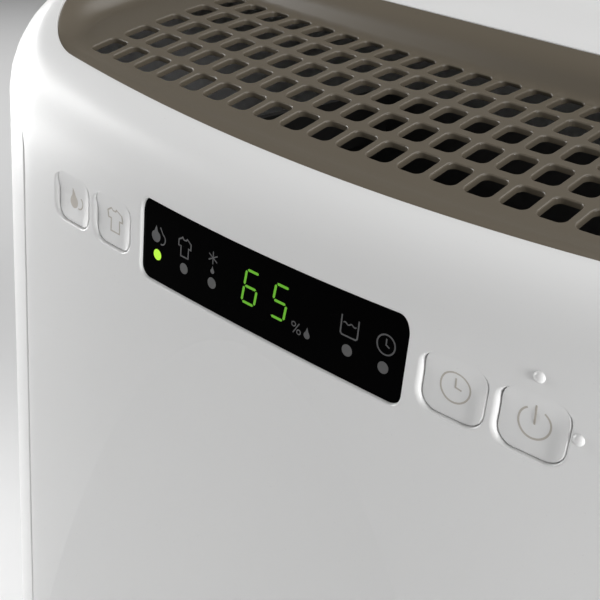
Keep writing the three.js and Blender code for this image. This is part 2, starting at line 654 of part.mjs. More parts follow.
// Centrifugal wheel: back disc with hub, ring of blades, front ring.
const WHEEL_FRONT = -66;
const WHEEL_REAR = 14;
let wheel = rod("y", WHEEL_FRONT, WHEEL_FRONT + 3, 0, FAN_Z, FAN_RADIUS, 36);
wheel = wheel.add(rod("y", WHEEL_FRONT + 2, WHEEL_FRONT + 34, 0, FAN_Z, 11, 12));
const endRing = rod("y", WHEEL_REAR - 4, WHEEL_REAR, 0, FAN_Z, FAN_RADIUS, 36);
wheel = wheel.add(endRing.subtract(rod("y", WHEEL_REAR - 8, WHEEL_REAR + 5, 0, FAN_Z, FAN_RADIUS - 12, 36)));
const BLADES = 18;
for (let i = 0; i < BLADES; i += 1) {
  const blade = box(-1.2, 1.2, WHEEL_FRONT + 2, WHEEL_REAR - 2, FAN_RADIUS - 11.5, FAN_RADIUS - 1);
  wheel = wheel.add(blade.rotate([0, (360 / BLADES) * i, 0]).translate([0, 0, FAN_Z]));
}
wheel = wheel.subtract(rod("y", WHEEL_FRONT - 5, WHEEL_FRONT + 30, 0, FAN_Z, 4.3, 12));
addPart("fan_wheel", wheel, "grey");

const motorBody = rod("y", -101, SCROLL_FRONT - 4, 0, FAN_Z, 38, 24);
addPart("fan_motor", motorBody.add(rod("y", SCROLL_FRONT - 5, WHEEL_FRONT + 26, 0, FAN_Z, 4, 12)), "steel");
const bracket = box(-60, 60, SCROLL_FRONT - 3.6, SCROLL_FRONT - GAP, FAN_Z - 22, FAN_Z + 22);
addPart("motor_bracket", bracket.subtract(rod("y", SCROLL_FRONT - 8, SCROLL_FRONT + 2, 0, FAN_Z, 8, 16)), "steel");

const ductOuter = box(-62, 100, SCROLL_FRONT, SCROLL_REAR, SCROLL_TOP + GAP, 528);
addPart("air_duct", ductOuter.subtract(box(-59, 97, SCROLL_FRONT + 3, SCROLL_REAR - 3, 500, 540)), "grey");

// ---------------------------------------------------------------- electrics in the base
addPart("run_capacitor", turned([[0, BASE_TOP + GAP], [18, BASE_TOP + GAP], [18, 100], [15, 103], [0, 103]], 18)
  .translate([20, 70, 0]), "aluminium");
addPart("power_board", box(60, 140, 40, 42, 60, 150), "board");

export default part;
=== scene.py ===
"""Looks of the dehumidifier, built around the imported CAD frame."""
import math

import bpy
import numpy as np
from mathutils import Matrix, Vector
from mathutils.geometry import delaunay_2d_cdt


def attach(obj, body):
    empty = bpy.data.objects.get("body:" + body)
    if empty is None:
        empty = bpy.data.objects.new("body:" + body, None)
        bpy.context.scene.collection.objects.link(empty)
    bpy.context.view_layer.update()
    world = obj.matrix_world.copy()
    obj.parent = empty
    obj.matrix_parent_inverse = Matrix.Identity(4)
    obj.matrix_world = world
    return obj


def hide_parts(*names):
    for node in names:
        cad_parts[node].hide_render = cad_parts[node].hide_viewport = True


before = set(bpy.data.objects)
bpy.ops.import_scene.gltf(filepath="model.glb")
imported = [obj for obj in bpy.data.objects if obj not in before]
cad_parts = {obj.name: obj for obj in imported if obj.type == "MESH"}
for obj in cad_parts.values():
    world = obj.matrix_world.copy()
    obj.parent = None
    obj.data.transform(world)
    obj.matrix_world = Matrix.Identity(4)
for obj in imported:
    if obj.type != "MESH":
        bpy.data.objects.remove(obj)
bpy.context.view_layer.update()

MM = 0.001

# ---------------------------------------------------------------- sizes, in millimetres
FRONT_R = 1495.0
FRONT_HALF = 135.2
CORNER_R = 60.0
REAR_R = 25.0
HALF_W = 190.0
HALF_D = 120.0
WALL = 2.6
CASING_BOTTOM = 34.3
RUN, RISE = 22.3, 27.7
RIM_Z, RIM_Y, RIM_CLIMB, RIM_REACH = 533.0, -101.0, 34.5, 36.0
OPENING = 20.1
CROWN_Y = 9.5
SHOULDER_END = math.radians(82)
FLAT_TOP = 504.0
SHOULDER_SPAN = 33.0
STRAIGHT = 0.07
TOP = FLAT_TOP + SHOULDER_SPAN
ARCH_TOP, ARCH_SPREAD, ARCH_DEPTH, ARCH_FOOT = 472.0, 80.0, 8.0, 226.0
PANEL_Z = 492.0
SPLIT_Y = -20.0
SEAM_X = 141.0

FRONT_ANGLE = math.asin(FRONT_HALF / FRONT_R)
CENTRE_Y = -HALF_D + FRONT_R
CORNER_X = HALF_W - CORNER_R
CORNER_Y = CENTRE_Y - (FRONT_R - CORNER_R) * math.cos(FRONT_ANGLE)
LEN_FRONT = FRONT_R * FRONT_ANGLE
LEN_CORNER = CORNER_R * (math.pi / 2 - FRONT_ANGLE)
LEN_SIDE = (HALF_D - REAR_R) - CORNER_Y
LEN_REAR_ARC = REAR_R * math.pi / 2
S_CORNER = LEN_FRONT + LEN_CORNER
S_SIDE = S_CORNER + LEN_SIDE
S_REAR = S_SIDE + LEN_REAR_ARC
HALF_LOOP = S_REAR + HALF_W - REAR_R


def smooth(v):
    v = np.clip(v, 0.0, 1.0)
    return v * v * (3 - 2 * v)


def outline(s, inset):
    """Plan position and outward normal at arc length s from the front centre."""
    s = np.asarray(s, float)
    s = np.where(s > HALF_LOOP, s - 2 * HALF_LOOP, s)
    side = np.where(s < 0, -1.0, 1.0)
    a = np.abs(s)
    front = a / FRONT_R
    corner = FRONT_ANGLE + (a - LEN_FRONT) / CORNER_R
    rear = math.pi / 2 + (a - S_SIDE) / REAR_R
    cases = [a <= LEN_FRONT, a <= S_CORNER, a <= S_SIDE, a <= S_REAR]
    angle = np.select(cases, [front, corner, np.full_like(a, math.pi / 2), rear], math.pi)
    nx, ny = np.sin(angle), -np.cos(angle)
    x = np.select(cases, [FRONT_R * nx, CORNER_X + CORNER_R * nx, np.full_like(a, HALF_W),
                          HALF_W - REAR_R + REAR_R * nx], HALF_W - REAR_R - (a - S_REAR))
    y = np.select(cases, [CENTRE_Y + FRONT_R * ny, CORNER_Y + CORNER_R * ny, CORNER_Y + (a - S_CORNER),
                          HALF_D - REAR_R + REAR_R * ny], HALF_D)
    return side * (x - inset * nx), y - inset * ny, side * nx, ny


def rim_height(y):
    """Edge of the opening: lowest at the front, climbing round the corners, level at the sides."""
    return RIM_Z + RIM_CLIMB * np.tanh((y - RIM_Y) / RIM_REACH) + 1.5 * np.clip((y - CROWN_Y) / 14.5, 0, 1)


def arch_half(z):
    return np.minimum(FRONT_HALF - 0.5, np.sqrt(ARCH_SPREAD * np.maximum(ARCH_TOP - z, 0.01)))


def arch_depth(z):
    return ARCH_DEPTH * np.clip((ARCH_TOP - z) / (ARCH_TOP - ARCH_FOOT), 0, 1) ** 0.75


def s_of_x(x):
    """Arc length on the front at a given x."""
    if abs(x) <= FRONT_HALF:
        return FRONT_R * math.asin(x / FRONT_R)
    angle = math.asin((abs(x) - CORNER_X) / CORNER_R)
    return math.copysign(LEN_FRONT + CORNER_R * (angle - FRONT_ANGLE), x)


SEAM_S = s_of_x(SEAM_X)


def casing(p, extra=0.0):
    """Casing surface: p is (arc length, height along the wall and shoulder)."""
    s, t = p[:, 0], p[:, 1]
    f = np.clip((t - FLAT_TOP) / SHOULDER_SPAN, 0, 1.1)
    theta = np.clip((f - STRAIGHT) / (1 - STRAIGHT), 0, 1.1) * SHOULDER_END
    inset = RUN * (1 - np.cos(theta)) + extra
    x, y, nx, ny = outline(s, inset)
    low = rim_height(outline(s, OPENING)[1]) - RISE
    z_straight = FLAT_TOP + (low - FLAT_TOP) * np.clip(f / STRAIGHT, 0, 1)
    z = np.where(t <= FLAT_TOP, t, np.where(f < STRAIGHT, z_straight, low + RISE * np.sin(theta)))
    half = arch_half(z)
    reach = np.clip(np.abs(x) / half, 0, 1)
    on_front = (np.abs(s) < LEN_FRONT) & (z < ARCH_TOP)
    y = y + np.where(on_front, arch_depth(z) * (1 - reach ** 2), 0)
    groove = 0.45 * np.exp(-((np.abs(s) - SEAM_S) / 0.45) ** 2) * (t < FLAT_TOP) * (t > ARCH_FOOT - 1)
    return np.stack([x - groove * nx, y - groove * ny, z], 1)


def wall(p):
    """Upright part of the casing by arc length and true height, where the arch does not reach."""
    x, y, _, _ = outline(p[:, 0], 0.0)
    return np.stack([x, y, p[:, 1]], 1)


def normals(surf, p, h=0.02):
    ds = surf(p + [h, 0]) - surf(p - [h, 0])
    dt = surf(p + [0, h]) - surf(p - [0, h])
    n = np.cross(ds, dt)
    return n / np.maximum(np.linalg.norm(n, axis=1, keepdims=True), 1e-12)


def unit(v):
    return v / np.maximum(np.linalg.norm(v, axis=1, keepdims=True), 1e-12)


def inside(points, loop):
    """Which points lie inside a closed loop."""
    hit = np.zeros(len(points), bool)
    low, high = loop.min(0), loop.max(0)
    near = np.where(((points >= low) & (points <= high)).all(1))[0]
    if len(near) == 0:
        return hit
    x, y = points[near, 0][:, None], points[near, 1][:, None]
    a, b = loop, np.roll(loop, -1, 0)
    crosses = (a[:, 1] > y) != (b[:, 1] > y)
    dy = np.where(b[:, 1] == a[:, 1], 1e-12, b[:, 1] - a[:, 1])
    xi = a[:, 0] + (y - a[:, 1]) / dy * (b[:, 0] - a[:, 0])
    hit[near] = (np.sum(crosses & (x < xi), axis=1) % 2) == 1
    return hit


def densify(points, step, closed=True):
    out = []
    count = len(points) if closed else len(points) - 1
    for i in range(count):
        a, b = np.array(points[i], float), np.array(points[(i + 1) % len(points)], float)
        n = max(1, int(math.ceil(np.linalg.norm(b - a) / step)))
        out += [a + (b - a) * k / n for k in range(n)]
    if not closed:
        out.append(np.array(points[-1], float))
    return np.array(out)


def rounded(cx, cy, wide, high, radius, steps=6, step=4.0):
    """Rounded rectangle, counter-clockwise."""
    points = []
    for qx, qy, start in ((1, -1, -90), (1, 1, 0), (-1, 1, 90), (-1, -1, 180)):
        ox, oy = cx + qx * (wide / 2 - radius), cy + qy * (high / 2 - radius)
        for k in range(steps + 1):
            angle = math.radians(start + 90 * k / steps)
            points.append((ox + radius * math.cos(angle), oy + radius * math.sin(angle)))
    return densify(points, step)


def ring(cx, cy, radius, steps=20):
    angles = np.arange(steps) * 2 * math.pi / steps
    return np.stack([cx + radius * np.cos(angles), cy + radius * np.sin(angles)], 1)


def loop_side(loop):
    """Mitred direction to the right of each point of a loop."""
    e1 = unit(loop - np.roll(loop, 1, 0))
    e2 = unit(np.roll(loop, -1, 0) - loop)
    n1 = np.stack([e1[:, 1], -e1[:, 0]], 1)
    n2 = np.stack([e2[:, 1], -e2[:, 0]], 1)
    return (n1 + n2) / np.maximum(1 + (n1 * n2).sum(1), 0.3)[:, None]


class Soup:
    """Collects vertices, faces and face-corner normals."""

    def __init__(self):
        self.verts, self.faces, self.norms = [], [], []
        self.count = 0

    def add(self, points):
        self.verts.append(points)
        first = self.count
        self.count += len(points)
        return np.arange(first, first + len(points))

    def face(self, ids, norms):
        self.faces += [tuple(int(i) for i in row) for row in ids]
        self.norms.append(norms.reshape(-1, 3))

    def build(self, name, body, replaces=()):
        mesh = bpy.data.meshes.new(name)
        mesh.from_pydata((np.concatenate(self.verts) * MM).tolist(), [], self.faces)
        mesh.polygons.foreach_set("use_smooth", [True] * len(mesh.polygons))
        mesh.normals_split_custom_set(unit(np.concatenate(self.norms)).tolist())
        obj = bpy.data.objects.new(name, mesh)
        bpy.context.scene.collection.objects.link(obj)
        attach(obj, body)
        if replaces:
            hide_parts(*replaces)
        return obj


def shell(soup, surf, border, holes=(), thick=WALL, fillet=0.4, hole_fillets=None, step=6.0, creases=(),
          margin=0.45, bends=3):
    """Closed plate on a surface, with rounded edges round its border and its holes."""
    loops = [np.asarray(border, float)] + [np.asarray(h, float)[::-1] for h in holes]
    radii = [np.full(len(loops[0]), fillet)]
    for i, hole in enumerate(loops[1:]):
        r = fillet if hole_fillets is None else hole_fillets[i]
        radii.append(np.full(len(hole), r) if np.isscalar(r) else np.asarray(r, float)[::-1])
    points, edges = [], []
    starts = []
    for loop in loops:
        first = len(points)
        starts.append(first)
        points += list(loop)
        edges += [(first + i, first + (i + 1) % len(loop)) for i in range(len(loop))]
    for line in creases:
        first = len(points)
        points += list(line)
        edges += [(first + i, first + i + 1) for i in range(len(line) - 1)]
    fixed = np.array(points)
    low, high = loops[0].min(0), loops[0].max(0)
    nx, ny = [max(1, int(round(d / step))) for d in high - low]
    gx, gy = np.meshgrid(np.linspace(low[0], high[0], nx + 1), np.linspace(low[1], high[1], ny + 1))
    grid = np.stack([gx.ravel(), gy.ravel()], 1)
    keep = inside(grid, loops[0])
    for hole in loops[1:]:
        keep &= ~inside(grid, hole)
    grid = grid[keep]
    if len(grid):
        near = np.full(len(grid), 1e9)
        for k in range(0, len(fixed), 400):
            d = ((grid[:, None, :] - fixed[None, k:k + 400, :]) ** 2).sum(2)
            near = np.minimum(near, d.min(1))
        grid = grid[near > (margin * step) ** 2]
    points += list(grid)
    result = delaunay_2d_cdt([Vector(p) for p in points], edges, [], 0, 1e-6)
    flat = np.array([tuple(v) for v in result[0]])
    tri = np.array([f for f in result[2] if len(f) == 3])
    where = {}
    for new, olds in enumerate(result[3]):
        for old in olds:
            where[old] = new
    centre = flat[tri].mean(1)
    keep = inside(centre, loops[0])
    for hole in loops[1:]:
        keep &= ~inside(centre, hole)
    tri, centre = tri[keep], centre[keep]
    cross = np.cross(flat[tri[:, 1]] - flat[tri[:, 0]], flat[tri[:, 2]] - flat[tri[:, 0]])
    tri[cross < 0] = tri[cross < 0][:, ::-1]
    n_vert = normals(surf, flat)
    base = surf(flat)
    depth = thick(flat) if callable(thick) else np.full(len(flat), float(thick))
    top = soup.add(base)
    bottom = soup.add(base - n_vert * depth[:, None])
    corner = flat[tri]
    nudged = corner + (centre[:, None, :] - corner) * 0.03
    n_corner = normals(surf, nudged.reshape(-1, 2)).reshape(-1, 3, 3)
    soup.face(top[tri], n_corner)
    soup.face(bottom[tri][:, ::-1], -n_corner[:, ::-1])
    for loop, radius, first in zip(loops, radii, starts):
        ids = np.array([where[first + i] for i in range(len(loop))])
        side = loop_side(loop)
        out = unit(surf(loop + side * 0.05) - surf(loop))
        back = thick(loop) if callable(thick) else np.full(len(loop), float(thick))
        n0 = normals(surf, loop - side * 0.03)
        rows, row_norms = [top[ids]], [n0]
        for k in range(1, bends + 1):
            angle = math.pi / 2 * k / bends
            e = radius * math.sin(angle)
            d = radius * (1 - math.cos(angle))
            spot = loop + side * e[:, None]
            rows.append(soup.add(surf(spot) - n0 * d[:, None]))
            row_norms.append(unit(n0 * math.cos(angle) + out * math.sin(angle)))
        spot = loop + side * radius[:, None]
        rows.append(soup.add(surf(spot) - n0 * back[:, None]))
        row_norms.append(out)
        rows.append(bottom[ids])
        row_norms.append(None)
        for k in range(len(rows) - 1):
            a, b = rows[k], rows[k + 1]
            a2, b2 = np.roll(a, -1), np.roll(b, -1)
            na, nb = row_norms[k], row_norms[k + 1]
            if nb is None:
                na, nb = -n0, -n0
            na2, nb2 = np.roll(na, -1, 0), np.roll(nb, -1, 0)
            soup.face(np.stack([a2, a, b, b2], 1), np.stack([na2, na, nb, nb2], 1))


# ---------------------------------------------------------------- materials
def material(name, colour, rough, metal=0.0, speck=0.0, bump=0.0, scale=900.0, spec=0.5, coat=0.0, emit=None,
             alpha=1.0, streak=None):
    """Procedural material: base colour with fine variation, roughness variation and bump."""
    mat = bpy.data.materials.new(name)
    mat.use_nodes = True
    nodes, links = mat.node_tree.nodes, mat.node_tree.links
    shader = nodes["Principled BSDF"]
    shader.inputs["Metallic"].default_value = metal
    shader.inputs["Specular IOR Level"].default_value = spec
    shader.inputs["Coat Weight"].default_value = coat
    shader.inputs["Coat Roughness"].default_value = 0.12
    shader.inputs["Alpha"].default_value = alpha
    if emit:
        shader.inputs["Emission Color"].default_value = (*emit[0], 1)
        shader.inputs["Emission Strength"].default_value = emit[1]
    coords = nodes.new("ShaderNodeTexCoord")
    mapping = nodes.new("ShaderNodeMapping")
    mapping.inputs["Scale"].default_value = streak or (1, 1, 1)
    links.new(coords.outputs["Object"], mapping.inputs["Vector"])
    fine = nodes.new("ShaderNodeTexNoise")
    fine.inputs["Scale"].default_value = scale
    fine.inputs["Detail"].default_value = 3
    broad = nodes.new("ShaderNodeTexNoise")
    broad.inputs["Scale"].default_value = 14
    broad.inputs["Detail"].default_value = 4
    for node in (fine, broad):
        links.new(mapping.outputs["Vector"], node.inputs["Vector"])
    tint = nodes.new("ShaderNodeMix")
    tint.data_type = "RGBA"
    tint.inputs["A"].default_value = (*[c * (1 - speck) for c in colour], 1)
    tint.inputs["B"].default_value = (*[min(1, c * (1 + speck)) for c in colour], 1)
    links.new(broad.outputs["Fac"], tint.inputs["Factor"])
    links.new(tint.outputs["Result"], shader.inputs["Base Color"])
    spread = nodes.new("ShaderNodeMapRange")
    spread.inputs["To Min"].default_value = max(0.02, rough - 0.06)
    spread.inputs["To Max"].default_value = rough + 0.06
    links.new(fine.outputs["Fac"], spread.inputs["Value"])
    links.new(spread.outputs["Result"], shader.inputs["Roughness"])
    if bump:
        relief = nodes.new("ShaderNodeBump")
        relief.inputs["Strength"].default_value = 1.0
        relief.inputs["Distance"].default_value = bump
        links.new(fine.outputs["Fac"], relief.inputs["Height"])
        links.new(relief.outputs["Normal"], shader.inputs["Normal"])
    return mat


WHITE = material("white_gloss", (0.80, 0.80, 0.795), 0.30, speck=0.012, bump=0.000004, scale=1400)
TAUPE = material("taupe_satin", (0.132, 0.112, 0.083), 0.34, speck=0.05, bump=0.000008, scale=1800)
DARK = material("dark_inside", (0.03, 0.029, 0.028), 0.6, speck=0.1, bump=0.00001, scale=1200)
GREY = material("grey_moulded", (0.42, 0.43, 0.43), 0.5, speck=0.04, bump=0.00001, scale=1200)
CLEAR = material("tank_plastic", (0.62, 0.70, 0.74), 0.25, speck=0.03, bump=0.000006, alpha=0.62)
LENS = material("lens_black", (0.0008, 0.0008, 0.0009), 0.10, spec=0.015)
RUBBER = material("rubber_black", (0.02, 0.02, 0.02), 0.8, speck=0.2, bump=0.00002, scale=1500)
ENAMEL = material("enamel_black", (0.012, 0.012, 0.014), 0.3, speck=0.2, bump=0.000015, scale=500, coat=0.4)
ALU = material("fin_aluminium", (0.72, 0.73, 0.75), 0.38, metal=1, speck=0.06, bump=0.000015,
               streak=(6, 6, 0.4))
COPPER = material("pipe_copper", (0.72, 0.38, 0.23), 0.3, metal=1, speck=0.18, bump=0.00001)
STEEL = material("zinc_steel", (0.58, 0.59, 0.61), 0.34, metal=1, speck=0.12, bump=0.00001)
BOARD = material("circuit_green", (0.02, 0.14, 0.05), 0.45, speck=0.35, bump=0.00002, scale=400)
INK = material("ink_taupe", (0.50, 0.465, 0.42), 0.5, speck=0.04)
PRINT = material("print_grey", (0.085, 0.085, 0.088), 0.5, speck=0.06)
LED_OFF = material("led_off", (0.10, 0.10, 0.10), 0.4, speck=0.05)
LED_ON = material("led_on", (0.2, 0.4, 0.02), 0.4, emit=((0.40, 0.72, 0.03), 0.9))
DIGIT = material("digit_green", (0.04, 0.12, 0.005), 0.4, emit=((0.11, 0.40, 0.012), 0.8))
MESH = material("filter_net", (0.10, 0.10, 0.10), 0.7, speck=0.2, bump=0.0001, scale=1500)


def dress(obj, mat):
    obj.data.materials.clear()
    obj.data.materials.append(mat)
    return obj


# ---------------------------------------------------------------- camera
EYE = (0.2225, -0.3638, 0.6525)
LENS_MM = 66.066
FORWARD = Vector((-0.5768, 0.6903, -0.4368)).normalized()
RIGHT = Vector((0.7356, 0.6715, 0.0898))
RIGHT = (RIGHT - FORWARD * RIGHT.dot(FORWARD)).normalized()
UP = RIGHT.cross(FORWARD)
camera = bpy.data.objects.new("camera", bpy.data.cameras.new("camera"))
bpy.context.scene.collection.objects.link(camera)
basis = Matrix((RIGHT, UP, -FORWARD)).transposed().to_4x4()
camera.matrix_world = Matrix.Translation(EYE) @ basis
camera.data.sensor_width = 36
camera.data.lens = LENS_MM
camera.data.clip_start = 0.01
bpy.context.scene.camera = camera

# ---------------------------------------------------------------- front cover
LENS_W, LENS_H, LENS_CORNER, LENS_RECESS = 122.2, 30.2, 4.6, 1.5
KEYS = (("humidity", -104.6), ("laundry", -78.4), ("timer", 78.4), ("power", 104.6))
KEY_W, KEY_H, KEY_CORNER = 21.8, 20.5, 6.2


def front_loop(loop_xz):
    return np.stack([[s_of_x(x) for x in loop_xz[:, 0]], loop_xz[:, 1]], 1)


def key_loop(cx, side_gap, top_gap):
    """Outline of a key grown by a gap that closes towards the hinge at its top."""
    loop = rounded(cx, PANEL_Z, KEY_W, KEY_H, KEY_CORNER, steps=9, step=1.5)
    v = (loop[:, 1] - PANEL_Z) / (KEY_H / 2)
    gap = side_gap + (top_gap - side_gap) * smooth((v - 0.55) / 0.4)
    return loop + loop_side(loop) * gap[:, None], v


def key_mouth(cx):
    """Opening of a key in the panel, with its rounding: wide at the sides, none at the hinge."""
    loop, v = key_loop(cx, 0.42, 0.07)
    u = (loop[:, 0] - cx) / (KEY_W / 2)
    wide = 0.45 + 1.45 * smooth((-u - 0.5) / 0.45) + 0.35 * smooth((u - 0.5) / 0.45)
    radius = 0.06 + (wide - 0.06) * smooth((0.95 - v) / 0.5)
    grown = loop + loop_side(loop) * radius[:, None]
    return grown, radius


s_split = S_CORNER + (SPLIT_Y - CORNER_Y) - 0.2
s_tank = s_of_x(SEAM_X)
front_border = densify([(-s_split, CASING_BOTTOM), (-s_tank, CASING_BOTTOM), (-s_tank, ARCH_FOOT),
                        (s_tank, ARCH_FOOT), (s_tank, CASING_BOTTOM), (s_split, CASING_BOTTOM),
                        (s_split, TOP), (-s_split, TOP)], 4.0)


def lip(p):
    """Wall thickness, growing into a deeper lip at the opening on top."""
    return WALL + 2.8 * smooth((p[:, 1] - (TOP - 9)) / 9)


arch_lines = []
for side in (-1, 1):
    crown_zs = np.linspace(ARCH_TOP - 0.3, ARCH_TOP - 12, 10)
    zs = np.concatenate([crown_zs, np.linspace(ARCH_TOP - 16, ARCH_FOOT + 1.5, 60)])
    arch_lines.append(np.array([(s_of_x(side * float(arch_half(z))), z) for z in zs]))
    for offset in (-1.2, -0.6, -0.3, 0, 0.3, 0.6, 1.2):
        line = [(side * (SEAM_S + offset), ARCH_FOOT + 1.5), (side * (SEAM_S + offset), FLAT_TOP - 0.5)]
        arch_lines.append(densify(line, 6.0, closed=False))

mouths = [key_mouth(x) for _, x in KEYS]
lens_mouth = rounded(0, PANEL_Z, LENS_W + 1.6, LENS_H + 1.6, LENS_CORNER + 0.8, steps=8)
soup = Soup()
front_holes = [front_loop(lens_mouth)] + [front_loop(m[0]) for m in mouths]
shell(soup, casing, front_border, front_holes, thick=lip, fillet=0.5,
      hole_fillets=[0.8] + [m[1] for m in mouths], step=5.0, creases=arch_lines, bends=4)
dress(soup.build("panel_front", "cabinet", ["front_cover"]), WHITE)

# Two small raised tactile dots by the power key.
for i, (x, z) in enumerate(((103.9, PANEL_Z + 15.2), (118.6, PANEL_Z + 1.6))):
    soup = Soup()
    centre = np.array([s_of_x(x), z])

    def dot(p, centre=centre):
        d2 = ((p - centre) ** 2).sum(1)
        return wall(p) + normals(wall, p) * (1.45 * np.sqrt(np.clip(1 - d2 / 3.6, 0, 1)) - 0.3)[:, None]

    shell(soup, dot, ring(centre[0], centre[1], 1.85, 32), thick=0.35, fillet=0.02, step=0.35, bends=1)
    dress(soup.build(f"tactile_dot_{i + 1}", "cabinet"), WHITE)


# ---------------------------------------------------------------- symbols as thin printed plates
def stroke(points, width, closed=False):
    """Outline of a pen stroke along a polyline."""
    p = np.array(points, float)
    if closed:
        side = loop_side(p)
        return p + side * width / 2, p - side * width / 2
    e = unit(np.diff(p, axis=0))
    t = np.concatenate([e[:1], unit(e[:-1] + e[1:]), e[-1:]]) if len(p) > 2 else np.repeat(e, 2, 0)
    side = np.stack([t[:, 1], -t[:, 0]], 1)
    k = np.ones(len(p))
    if len(p) > 2:
        k[1:-1] = 1 / np.maximum((t[1:-1] * e[:-1]).sum(1), 0.5)
    side = side * (width / 2 * k)[:, None]
    return np.concatenate([p + side, (p - side)[::-1]]), None


def arc(cx, cy, r, start, end, steps=24):
    angles = np.radians(np.linspace(start, end, steps))
    return np.stack([cx + r * np.cos(angles), cy + r * np.sin(angles)], 1)


def drop(cx, cy, h, bulge=0.36):
    """Water drop outline: a round foot and a pointed top."""
    r = h * bulge
    base = arc(cx, cy - h / 2 + r, r, 150, 390, 22)
    tip = [(cx + r * 0.42, cy + h * 0.14), (cx, cy + h / 2), (cx - r * 0.42, cy + h * 0.14)]
    return np.concatenate([base, tip])


def shirt(cx, cy, h):
    k = h / 8.0
    pts = [(-1.3, 4), (-3.6, 2.6), (-3.6, 0.2), (-2.2, 0.2), (-2.2, -4), (2.2, -4), (2.2, 0.2), (3.6, 0.2),
           (3.6, 2.6), (1.3, 4), (0.7, 3.2), (-0.7, 3.2)]
    return np.array([(cx + x * k, cy + y * k) for x, y in pts])[::-1]


def plates(name, surf, shapes, body, mat, thick=0.12):
    soup = Soup()
    for outer, inner in shapes:
        outer = np.asarray(outer, float)
        area = np.sum(outer[:, 0] * np.roll(outer[:, 1], -1) - np.roll(outer[:, 0], -1) * outer[:, 1])
        if area < 0:
            outer = outer[::-1]
        holes = []
        if inner is not None:
            inner = np.asarray(inner, float)
            turn = np.sum(inner[:, 0] * np.roll(inner[:, 1], -1) - np.roll(inner[:, 0], -1) * inner[:, 1])
            holes = [front_loop(inner if turn > 0 else inner[::-1])]
        shell(soup, surf, front_loop(outer), holes, thick=thick, fillet=0.015, step=2.5, bends=1)
    return dress(soup.build(name, body), mat)


def raised(surf, lift):
    return lambda p: surf(p) + normals(surf, p, 0.05) * lift


# ---------------------------------------------------------------- keys
KEY_SINK, RIGHT_LIFT, LEFT_LIFT, LOWER_LIFT = 1.7, 1.75, 0.2, 0.5


def key_face(cx):
    """Shallow dished face, level with the panel at the hinge and sunk towards the lower edge."""
    s0 = s_of_x(cx)

    def surf(p):
        u = (p[:, 0] - s0) / (KEY_W / 2)
        v = (p[:, 1] - PANEL_Z) / (KEY_H / 2)
        sunk = KEY_SINK * smooth(1.0 - v)
        right = RIGHT_LIFT * np.clip((u - 0.45) / 0.55, 0, 1.1) ** 2
        left = LEFT_LIFT * smooth((-u - 0.45) / 0.6)
        lower = LOWER_LIFT * smooth((-v - 0.3) / 0.8)
        lift = right + left + lower
        return casing(p) + normals(casing, p, 0.1) * (-sunk + lift * smooth((1.0 - v) / 1.1))[:, None]
    return surf


def circle_mark(x, z, r, w):
    return [stroke(arc(x, z, r, 0, 360, 41)[:-1], w, closed=True)]


MARKS = {
    "humidity": lambda x: [(drop(x - 1.2, PANEL_Z, 8.6, 0.30), None),
                           stroke(arc(x + 2.2, PANEL_Z - 1.2, 2.5, -100, 60), 0.55)],
    "laundry": lambda x: [stroke(shirt(x, PANEL_Z, 9.6)[::-1], 0.55, closed=True)],
    "timer": lambda x: circle_mark(x, PANEL_Z, 5.1, 0.55) + [
        stroke([(x, PANEL_Z + 3.2), (x, PANEL_Z), (x + 2.2, PANEL_Z - 0.4)], 0.5)],
    "power": lambda x: [stroke(arc(x, PANEL_Z, 5.1, 122, 418, 40), 0.6),
                        stroke([(x, PANEL_Z + 6.2), (x, PANEL_Z - 0.6)], 0.6)],
}
for label, x in KEYS:
    face = key_face(x)
    soup = Soup()
    loop, v = key_loop(x, -0.35, 0.0)
    shell(soup, face, front_loop(loop), thick=2.0, fillet=0.35, step=1.3)
    dress(soup.build(f"key_{label}", f"key_{label}", [f"button_{label}"]), WHITE)
    plates(f"mark_{label}", raised(face, 0.03), MARKS[label](x), f"key_{label}", INK)


# ---------------------------------------------------------------- display
def lens_surface(p):
    return casing(p) - normals(casing, p, 0.1) * LENS_RECESS


soup = Soup()
lens_loop = rounded(0, PANEL_Z, LENS_W - 0.5, LENS_H - 0.5, LENS_CORNER - 0.2, steps=8)
shell(soup, lens_surface, front_loop(lens_loop),
      thick=2.0, fillet=0.25, step=5.0)
dress(soup.build("display_window", "cabinet", ["display_lens"]), LENS)
on_lens = raised(lens_surface, 0.03)

LED_Z = PANEL_Z - 4.4
LED_X = (-52.7, -38.0, -23.3, 38.4, 52.7)
plates("led_lit", on_lens, [(ring(LED_X[0], LED_Z, 2.1, 28), None)], "cabinet", LED_ON)
dark_leds = [(ring(x, LED_Z, 2.05, 28), None) for x in LED_X[1:]]
plates("leds_dark", on_lens, dark_leds, "cabinet", LED_OFF)

ICON_Z = LED_Z + 8.0
icons = [
    (drop(LED_X[0] - 1.1, ICON_Z, 6.6, 0.36), None),
    stroke(arc(LED_X[0] + 2.0, ICON_Z - 1.2, 2.1, -100, 62), 0.5),
    stroke([(LED_X[0] + 1.2, ICON_Z + 3.1), (LED_X[0] + 2.9, ICON_Z + 0.6)], 0.45),
    stroke(shirt(LED_X[1], ICON_Z, 7.2)[::-1], 0.5, closed=True),
    (drop(LED_X[2], ICON_Z - 2.9, 3.0, 0.3), None),
]
for k in range(3):
    a = math.radians(90 + 60 * k)
    dx, dz = 2.4 * math.cos(a), 2.4 * math.sin(a)
    icons.append(stroke([(LED_X[2] - dx, ICON_Z + 1.6 - dz), (LED_X[2] + dx, ICON_Z + 1.6 + dz)], 0.42))
tx, tz = LED_X[3], ICON_Z
icons.append(stroke([(tx - 3.4, tz + 3.6), (tx - 3.4, tz - 2.6), (tx - 2.8, tz - 3.2), (tx + 2.8, tz - 3.2),
                     (tx + 3.4, tz - 2.6), (tx + 3.4, tz + 3.6)], 0.5))
